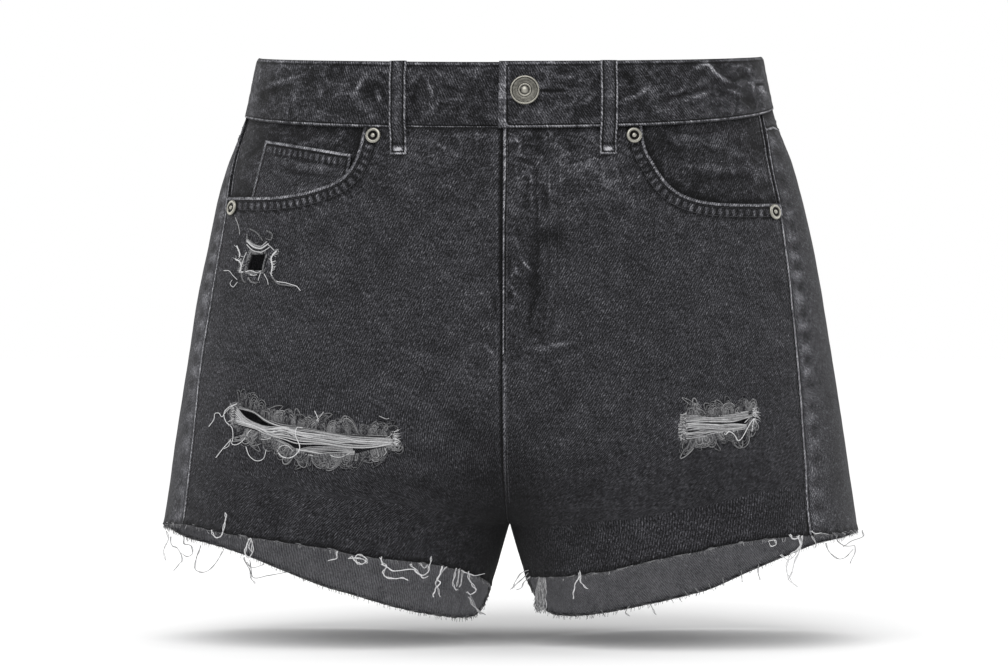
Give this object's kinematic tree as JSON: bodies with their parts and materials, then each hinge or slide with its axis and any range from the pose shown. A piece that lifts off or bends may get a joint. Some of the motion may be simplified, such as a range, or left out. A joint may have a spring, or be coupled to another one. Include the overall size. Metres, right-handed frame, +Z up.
{
  "type": "denim shorts",
  "caption": "High-rise cut-off denim shorts held open as if worn, with frayed hems, torn patches, belt loops, a tack button, rivets and scoop pockets.",
  "frame": {"origin": "centre of the waist opening, at the height where the waistband's upper edge lies at the sides", "axes": "+Z up towards the waist, -Y towards the front with the button, +X towards the wearer's left"},
  "size_m": [0.4157, 0.2328, 0.3457],
  "materials": {
    "denim": "washed black denim, matte",
    "weft_yarn": "loose grey and off-white cotton yarn",
    "antique_metal": "antique nickel plate, worn"
  },
  "bodies": {
    "root": {"front_right": "denim", "front_left": "denim", "back_right": "denim", "back_left": "denim", "yoke_right": "denim", "yoke_left": "denim", "pocket_facing_right": "denim", "pocket_facing_left": "denim", "back_pocket_right": "denim", "back_pocket_left": "denim", "coin_pocket": "denim", "waistband": "denim", "loop_front_right": "denim", "loop_front_left": "denim", "loop_back_right": "denim", "loop_back_left": "denim", "loop_back_centre": "denim", "button": "antique_metal", "rivet_right_upper": "antique_metal", "rivet_right_lower": "antique_metal", "rivet_left_upper": "antique_metal", "rivet_left_lower": "antique_metal", "fray_front_right": "weft_yarn", "fray_front_left": "weft_yarn", "fray_back_right": "weft_yarn", "fray_back_left": "weft_yarn", "hole_threads": "weft_yarn", "rip_threads_right": "weft_yarn", "rip_threads_left": "weft_yarn"}
  },
  "joints": []
}
